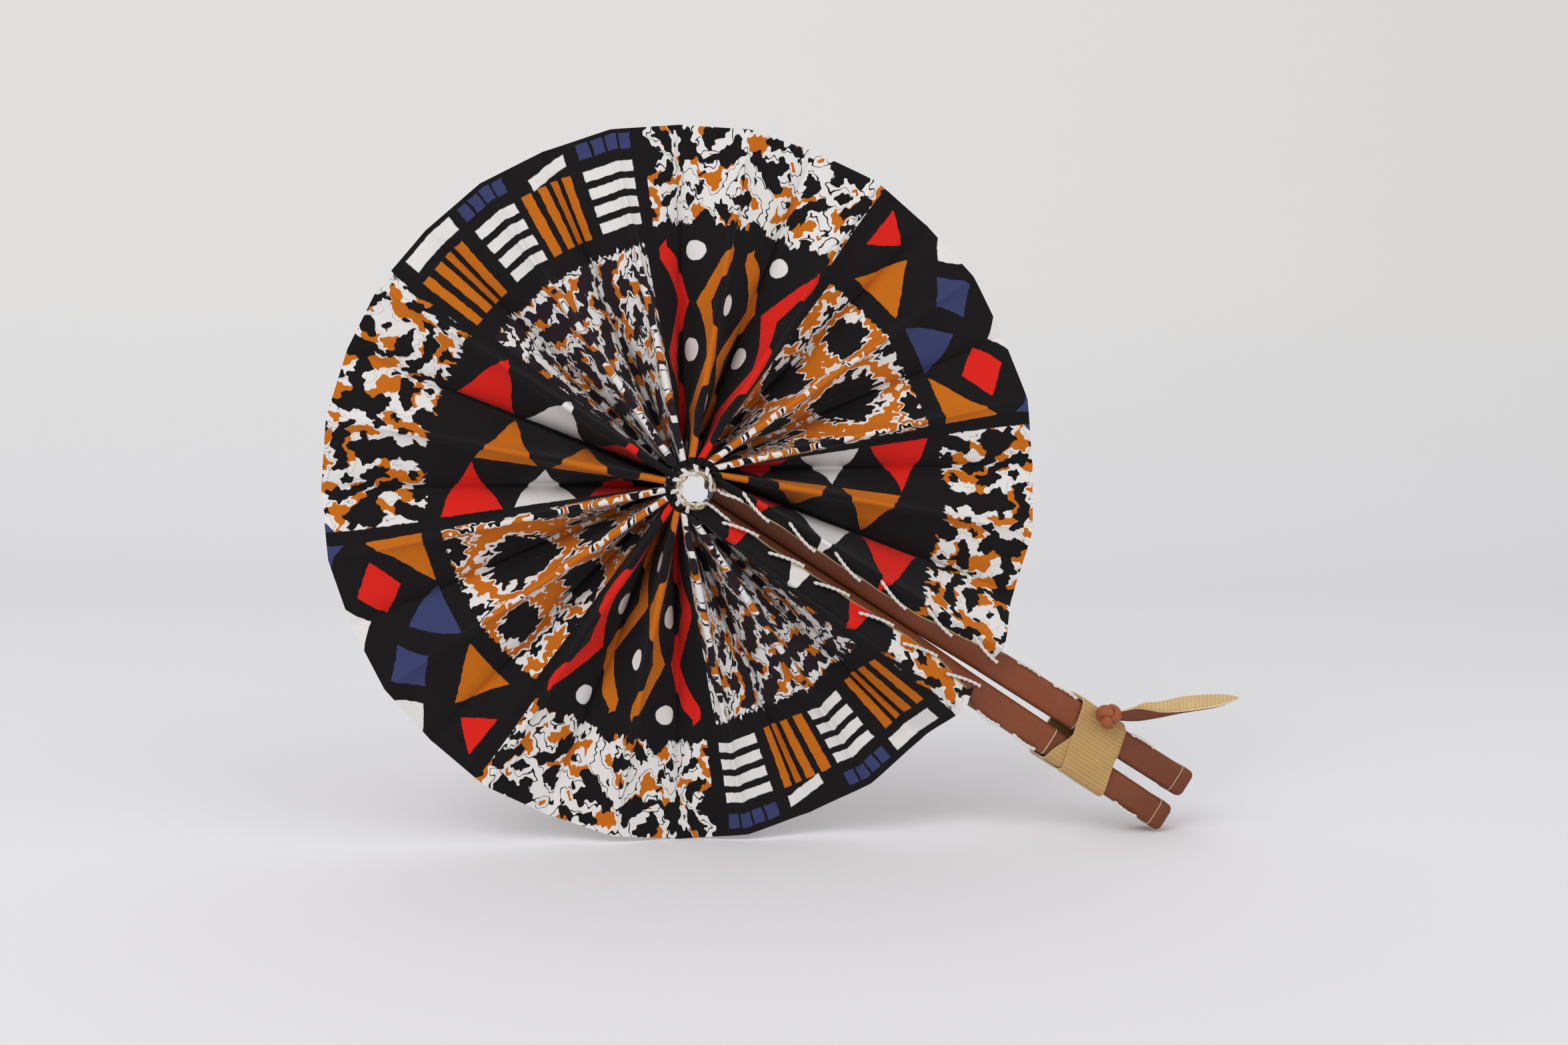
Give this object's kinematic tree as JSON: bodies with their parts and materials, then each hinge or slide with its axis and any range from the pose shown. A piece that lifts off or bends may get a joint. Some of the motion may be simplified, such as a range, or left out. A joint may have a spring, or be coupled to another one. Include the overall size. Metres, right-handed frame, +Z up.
{
  "type": "fabric hand fan",
  "caption": "Folding hand fan of pleated printed cloth that opens to a full disc, between leather-covered sticks that meet as its handle.",
  "frame": {"origin": "under the middle of the open fan, on the surface that it stands on", "axes": "+X to the right and along the handle seen from the front, +Y from the front to the back, +Z up"},
  "size_m": [0.3312, 0.0286, 0.249],
  "materials": {
    "printed_cloth": "glazed cotton with a printed pattern",
    "brown_leather": "smooth, with raw cream edges",
    "stick_wood": "bare",
    "white_cord": "waxed twisted cord",
    "strap_leather": "ribbed split leather"
  },
  "bodies": {
    "upper_guard": {"stick_upper": "stick_wood", "guard_leather_upper": "brown_leather", "handle_sleeve_upper": "brown_leather", "end_cap_upper": "brown_leather", "guard_stitches_upper": "white_cord"},
    "hub_1": {"hub_band_1": "brown_leather", "hub_lace_1": "white_cord"},
    "hub_2": {"hub_band_2": "brown_leather", "hub_lace_2": "white_cord"},
    "hub_3": {"hub_band_3": "brown_leather", "hub_lace_3": "white_cord"},
    "hub_4": {"hub_band_4": "brown_leather", "hub_lace_4": "white_cord"},
    "hub_5": {"hub_band_5": "brown_leather", "hub_lace_5": "white_cord"},
    "hub_6": {"hub_band_6": "brown_leather", "hub_lace_6": "white_cord"},
    "hub_7": {"hub_band_7": "brown_leather", "hub_lace_7": "white_cord"},
    "lower_guard": {"stick_lower": "stick_wood", "guard_leather_lower": "brown_leather", "handle_sleeve_lower": "brown_leather", "end_cap_lower": "brown_leather", "guard_stitches_lower": "white_cord"},
    "pleat_01": {"cloth_fold_01": "printed_cloth"},
    "pleat_02": {"cloth_fold_02": "printed_cloth"},
    "pleat_03": {"cloth_fold_03": "printed_cloth"},
    "pleat_04": {"cloth_fold_04": "printed_cloth"},
    "pleat_05": {"cloth_fold_05": "printed_cloth"},
    "pleat_06": {"cloth_fold_06": "printed_cloth"},
    "pleat_07": {"cloth_fold_07": "printed_cloth"},
    "pleat_08": {"cloth_fold_08": "printed_cloth"},
    "pleat_09": {"cloth_fold_09": "printed_cloth"},
    "pleat_10": {"cloth_fold_10": "printed_cloth"},
    "pleat_11": {"cloth_fold_11": "printed_cloth"},
    "pleat_12": {"cloth_fold_12": "printed_cloth"},
    "pleat_13": {"cloth_fold_13": "printed_cloth"},
    "pleat_14": {"cloth_fold_14": "printed_cloth"},
    "pleat_15": {"cloth_fold_15": "printed_cloth"},
    "pleat_16": {"cloth_fold_16": "printed_cloth"},
    "pleat_17": {"cloth_fold_17": "printed_cloth"},
    "pleat_18": {"cloth_fold_18": "printed_cloth"},
    "pleat_19": {"cloth_fold_19": "printed_cloth"},
    "pleat_20": {"cloth_fold_20": "printed_cloth"},
    "pleat_21": {"cloth_fold_21": "printed_cloth"},
    "pleat_22": {"cloth_fold_22": "printed_cloth"},
    "pleat_23": {"cloth_fold_23": "printed_cloth"},
    "pleat_24": {"cloth_fold_24": "printed_cloth"},
    "pleat_25": {"cloth_fold_25": "printed_cloth"},
    "pleat_26": {"cloth_fold_26": "printed_cloth"},
    "pleat_27": {"cloth_fold_27": "printed_cloth"},
    "pleat_28": {"cloth_fold_28": "printed_cloth"},
    "pleat_29": {"cloth_fold_29": "printed_cloth"},
    "pleat_30": {"cloth_fold_30": "printed_cloth"},
    "pleat_31": {"cloth_fold_31": "printed_cloth"},
    "pleat_32": {"cloth_fold_32": "printed_cloth"},
    "strap": {"strap_band": "strap_leather", "strap_knot": "brown_leather", "strap_tail": "brown_leather"}
  },
  "joints": [
    {"name": "fold", "type": "hinge", "parent": "upper_guard", "child": "hub_1", "pos_m": [-0.03219, 0, 0.12287], "axis": [-0.0181, 0.9927, -0.1196], "range_deg": [0, 43.17], "deforming": ["strap_band"]},
    {"name": "fold_2", "type": "hinge", "parent": "hub_1", "child": "hub_2", "pos_m": [-0.03419, 0, 0.12993], "axis": [0, 1, 0], "range_deg": [0, 44.92]},
    {"name": "fold_3", "type": "hinge", "parent": "hub_2", "child": "hub_3", "pos_m": [-0.0396, 0, 0.13257], "axis": [0, 1, 0], "range_deg": [0, 44.92]},
    {"name": "fold_4", "type": "hinge", "parent": "hub_3", "child": "hub_4", "pos_m": [-0.04548, 0, 0.13091], "axis": [0, 1, 0], "range_deg": [0, 44.92]},
    {"name": "fold_5", "type": "hinge", "parent": "hub_4", "child": "hub_5", "pos_m": [-0.04878, 0, 0.12573], "axis": [0, 1, 0], "range_deg": [0, 44.92]},
    {"name": "fold_6", "type": "hinge", "parent": "hub_5", "child": "hub_6", "pos_m": [-0.04779, 0, 0.1197], "axis": [0, 1, 0], "range_deg": [0, 44.92]},
    {"name": "fold_7", "type": "hinge", "parent": "hub_6", "child": "hub_7", "pos_m": [-0.0431, 0, 0.11592], "axis": [0, 1, 0], "range_deg": [0, 44.92]},
    {"name": "fold_8", "type": "hinge", "parent": "hub_7", "child": "lower_guard", "pos_m": [-0.03586, 0, 0.1171], "axis": [0.1007, 0.9927, 0.0672], "range_deg": [0, 43.18]},
    {"name": "crease_01", "type": "hinge", "parent": "upper_guard", "child": "pleat_01", "pos_m": [-0.03596, 0, 0.11533], "axis": [0.2087, 0.8741, 0.4385], "range_deg": [0, 10.53], "deforming": ["cloth_fold_01"]},
    {"name": "crease_02", "type": "hinge", "parent": "pleat_01", "child": "pleat_02", "pos_m": [-0.03334, 0, 0.12406], "axis": [-0.1772, 0.7385, -0.6505], "range_deg": [0, 15.17], "deforming": ["cloth_fold_02"]},
    {"name": "crease_03", "type": "hinge", "parent": "pleat_04", "child": "pleat_03", "pos_m": [-0.03329, 0, 0.12527], "axis": [0.0471, 0.7385, 0.6726], "range_deg": [-15.17, 0], "deforming": ["cloth_fold_03"]},
    {"name": "crease_04", "type": "hinge", "parent": "hub_1", "child": "pleat_04", "pos_m": [-0.03345, 0, 0.1265], "axis": [0.0847, 0.7385, -0.6689], "range_deg": [-15.17, 0], "deforming": ["cloth_fold_04"]},
    {"name": "crease_05", "type": "hinge", "parent": "hub_1", "child": "pleat_05", "pos_m": [-0.03386, 0, 0.12771], "axis": [-0.2133, 0.7385, 0.6396], "range_deg": [0, 15.17], "deforming": ["cloth_fold_05"]},
    {"name": "crease_06", "type": "hinge", "parent": "pleat_05", "child": "pleat_06", "pos_m": [-0.0345, 0, 0.12886], "axis": [0.3337, 0.7385, -0.5858], "range_deg": [0, 15.17], "deforming": ["cloth_fold_06"]},
    {"name": "crease_07", "type": "hinge", "parent": "pleat_08", "child": "pleat_07", "pos_m": [-0.03536, 0, 0.12988], "axis": [-0.4414, 0.7385, 0.5096], "range_deg": [-15.17, 0], "deforming": ["cloth_fold_07"]},
    {"name": "crease_08", "type": "hinge", "parent": "hub_2", "child": "pleat_08", "pos_m": [-0.03642, 0, 0.13075], "axis": [0.5322, 0.7385, -0.4139], "range_deg": [-15.17, 0], "deforming": ["cloth_fold_08"]},
    {"name": "crease_09", "type": "hinge", "parent": "hub_2", "child": "pleat_09", "pos_m": [-0.03764, 0, 0.13142], "axis": [-0.6026, 0.7385, 0.3024], "range_deg": [0, 15.17], "deforming": ["cloth_fold_09"]},
    {"name": "crease_10", "type": "hinge", "parent": "pleat_09", "child": "pleat_10", "pos_m": [-0.03898, 0, 0.13185], "axis": [0.6499, 0.7385, -0.1793], "range_deg": [0, 15.17], "deforming": ["cloth_fold_10"]},
    {"name": "crease_11", "type": "hinge", "parent": "pleat_12", "child": "pleat_11", "pos_m": [-0.0404, 0, 0.13203], "axis": [-0.6724, 0.7385, 0.0493], "range_deg": [-15.17, 0], "deforming": ["cloth_fold_11"]},
    {"name": "crease_12", "type": "hinge", "parent": "hub_3", "child": "pleat_12", "pos_m": [-0.04185, 0, 0.13193], "axis": [0.6691, 0.7385, 0.0825], "range_deg": [-15.17, 0], "deforming": ["cloth_fold_12"]},
    {"name": "crease_13", "type": "hinge", "parent": "hub_3", "child": "pleat_13", "pos_m": [-0.04326, 0, 0.13157], "axis": [-0.6403, 0.7385, -0.2112], "range_deg": [0, 15.17], "deforming": ["cloth_fold_13"]},
    {"name": "crease_14", "type": "hinge", "parent": "pleat_13", "child": "pleat_14", "pos_m": [-0.04459, 0, 0.13094], "axis": [0.5869, 0.7385, 0.3318], "range_deg": [0, 15.17], "deforming": ["cloth_fold_14"]},
    {"name": "crease_15", "type": "hinge", "parent": "pleat_16", "child": "pleat_15", "pos_m": [-0.04579, 0, 0.13007], "axis": [-0.5111, 0.7385, -0.4397], "range_deg": [-15.17, 0], "deforming": ["cloth_fold_15"]},
    {"name": "crease_16", "type": "hinge", "parent": "hub_4", "child": "pleat_16", "pos_m": [-0.0468, 0, 0.12899], "axis": [0.4157, 0.7385, 0.5308], "range_deg": [-15.17, 0], "deforming": ["cloth_fold_16"]},
    {"name": "crease_17", "type": "hinge", "parent": "hub_4", "child": "pleat_17", "pos_m": [-0.0476, 0, 0.12774], "axis": [-0.3044, 0.7385, -0.6016], "range_deg": [0, 15.17], "deforming": ["cloth_fold_17"]},
    {"name": "crease_18", "type": "hinge", "parent": "pleat_17", "child": "pleat_18", "pos_m": [-0.04815, 0, 0.12636], "axis": [0.1814, 0.7385, 0.6493], "range_deg": [0, 15.17], "deforming": ["cloth_fold_18"]},
    {"name": "crease_19", "type": "hinge", "parent": "pleat_20", "child": "pleat_19", "pos_m": [-0.04843, 0, 0.12491], "axis": [-0.0515, 0.7385, -0.6722], "range_deg": [-15.17, 0], "deforming": ["cloth_fold_19"]},
    {"name": "crease_20", "type": "hinge", "parent": "hub_5", "child": "pleat_20", "pos_m": [-0.04843, 0, 0.12344], "axis": [-0.0803, 0.7385, 0.6694], "range_deg": [-15.17, 0], "deforming": ["cloth_fold_20"]},
    {"name": "crease_21", "type": "hinge", "parent": "hub_5", "child": "pleat_21", "pos_m": [-0.04816, 0, 0.122], "axis": [0.2091, 0.7385, -0.6409], "range_deg": [0, 15.17], "deforming": ["cloth_fold_21"]},
    {"name": "crease_22", "type": "hinge", "parent": "pleat_21", "child": "pleat_22", "pos_m": [-0.04763, 0, 0.12065], "axis": [-0.3299, 0.7385, 0.588], "range_deg": [0, 15.17], "deforming": ["cloth_fold_22"]},
    {"name": "crease_23", "type": "hinge", "parent": "pleat_24", "child": "pleat_23", "pos_m": [-0.04687, 0, 0.11944], "axis": [0.4381, 0.7385, -0.5125], "range_deg": [-15.17, 0], "deforming": ["cloth_fold_23"]},
    {"name": "crease_24", "type": "hinge", "parent": "hub_6", "child": "pleat_24", "pos_m": [-0.04591, 0, 0.11841], "axis": [-0.5295, 0.7385, 0.4174], "range_deg": [-15.17, 0], "deforming": ["cloth_fold_24"]},
    {"name": "crease_25", "type": "hinge", "parent": "hub_6", "child": "pleat_25", "pos_m": [-0.04479, 0, 0.11759], "axis": [0.6006, 0.7385, -0.3063], "range_deg": [0, 15.17], "deforming": ["cloth_fold_25"]},
    {"name": "crease_26", "type": "hinge", "parent": "pleat_25", "child": "pleat_26", "pos_m": [-0.04355, 0, 0.117], "axis": [-0.6487, 0.7385, 0.1835], "range_deg": [0, 15.17], "deforming": ["cloth_fold_26"]},
    {"name": "crease_27", "type": "hinge", "parent": "pleat_28", "child": "pleat_27", "pos_m": [-0.04226, 0, 0.11665], "axis": [0.6721, 0.7385, -0.0537], "range_deg": [-15.17, 0], "deforming": ["cloth_fold_27"]},
    {"name": "crease_28", "type": "hinge", "parent": "hub_7", "child": "pleat_28", "pos_m": [-0.04095, 0, 0.11656], "axis": [-0.6697, 0.7385, -0.0782], "range_deg": [-15.17, 0], "deforming": ["cloth_fold_28"]},
    {"name": "crease_29", "type": "hinge", "parent": "hub_7", "child": "pleat_29", "pos_m": [-0.03968, 0, 0.11671], "axis": [0.6416, 0.7385, 0.207], "range_deg": [0, 15.17], "deforming": ["cloth_fold_29"]},
    {"name": "crease_30", "type": "hinge", "parent": "pleat_29", "child": "pleat_30", "pos_m": [-0.0385, 0, 0.11707], "axis": [-0.589, 0.7385, -0.328], "range_deg": [0, 15.17], "deforming": ["cloth_fold_30"]},
    {"name": "crease_31", "type": "hinge", "parent": "pleat_32", "child": "pleat_31", "pos_m": [-0.03743, 0, 0.11764], "axis": [0.5139, 0.7385, 0.4364], "range_deg": [-15.17, 0], "deforming": ["cloth_fold_31"]},
    {"name": "crease_32", "type": "hinge", "parent": "lower_guard", "child": "pleat_32", "pos_m": [-0.03063, 0, 0.12371], "axis": [-0.3086, 0.8741, -0.375], "range_deg": [-10.53, 0], "deforming": ["cloth_fold_32"]},
    {"name": "strap_slide", "type": "slide", "parent": "upper_guard", "child": "strap", "axis": [0.8439, 0, -0.5366], "range_m": [0, 0.048]}
  ],
  "couplings": [
    {"joint": "fold_2", "follows": "fold", "ratio": 1.0403},
    {"joint": "fold_3", "follows": "fold", "ratio": 1.0403},
    {"joint": "fold_4", "follows": "fold", "ratio": 1.0403},
    {"joint": "fold_5", "follows": "fold", "ratio": 1.0403},
    {"joint": "fold_6", "follows": "fold", "ratio": 1.0403},
    {"joint": "fold_7", "follows": "fold", "ratio": 1.0403},
    {"joint": "fold_8", "follows": "fold", "ratio": 1},
    {"joint": "crease_01", "follows": "fold", "ratio": 0.24364},
    {"joint": "crease_02", "follows": "fold", "ratio": 0.3512},
    {"joint": "crease_03", "follows": "fold", "ratio": -0.3512},
    {"joint": "crease_04", "follows": "fold", "ratio": -0.3512},
    {"joint": "crease_05", "follows": "fold", "ratio": 0.3512},
    {"joint": "crease_06", "follows": "fold", "ratio": 0.3512},
    {"joint": "crease_07", "follows": "fold", "ratio": -0.3512},
    {"joint": "crease_08", "follows": "fold", "ratio": -0.3512},
    {"joint": "crease_09", "follows": "fold", "ratio": 0.3512},
    {"joint": "crease_10", "follows": "fold", "ratio": 0.3512},
    {"joint": "crease_11", "follows": "fold", "ratio": -0.3512},
    {"joint": "crease_12", "follows": "fold", "ratio": -0.3512},
    {"joint": "crease_13", "follows": "fold", "ratio": 0.3512},
    {"joint": "crease_14", "follows": "fold", "ratio": 0.3512},
    {"joint": "crease_15", "follows": "fold", "ratio": -0.3512},
    {"joint": "crease_16", "follows": "fold", "ratio": -0.3512},
    {"joint": "crease_17", "follows": "fold", "ratio": 0.3512},
    {"joint": "crease_18", "follows": "fold", "ratio": 0.3512},
    {"joint": "crease_19", "follows": "fold", "ratio": -0.3512},
    {"joint": "crease_20", "follows": "fold", "ratio": -0.3512},
    {"joint": "crease_21", "follows": "fold", "ratio": 0.3512},
    {"joint": "crease_22", "follows": "fold", "ratio": 0.3512},
    {"joint": "crease_23", "follows": "fold", "ratio": -0.3512},
    {"joint": "crease_24", "follows": "fold", "ratio": -0.3512},
    {"joint": "crease_25", "follows": "fold", "ratio": 0.3512},
    {"joint": "crease_26", "follows": "fold", "ratio": 0.3512},
    {"joint": "crease_27", "follows": "fold", "ratio": -0.3512},
    {"joint": "crease_28", "follows": "fold", "ratio": -0.3512},
    {"joint": "crease_29", "follows": "fold", "ratio": 0.3512},
    {"joint": "crease_30", "follows": "fold", "ratio": 0.3512},
    {"joint": "crease_31", "follows": "fold", "ratio": -0.3512},
    {"joint": "crease_32", "follows": "fold", "ratio": -0.24364}
  ]
}
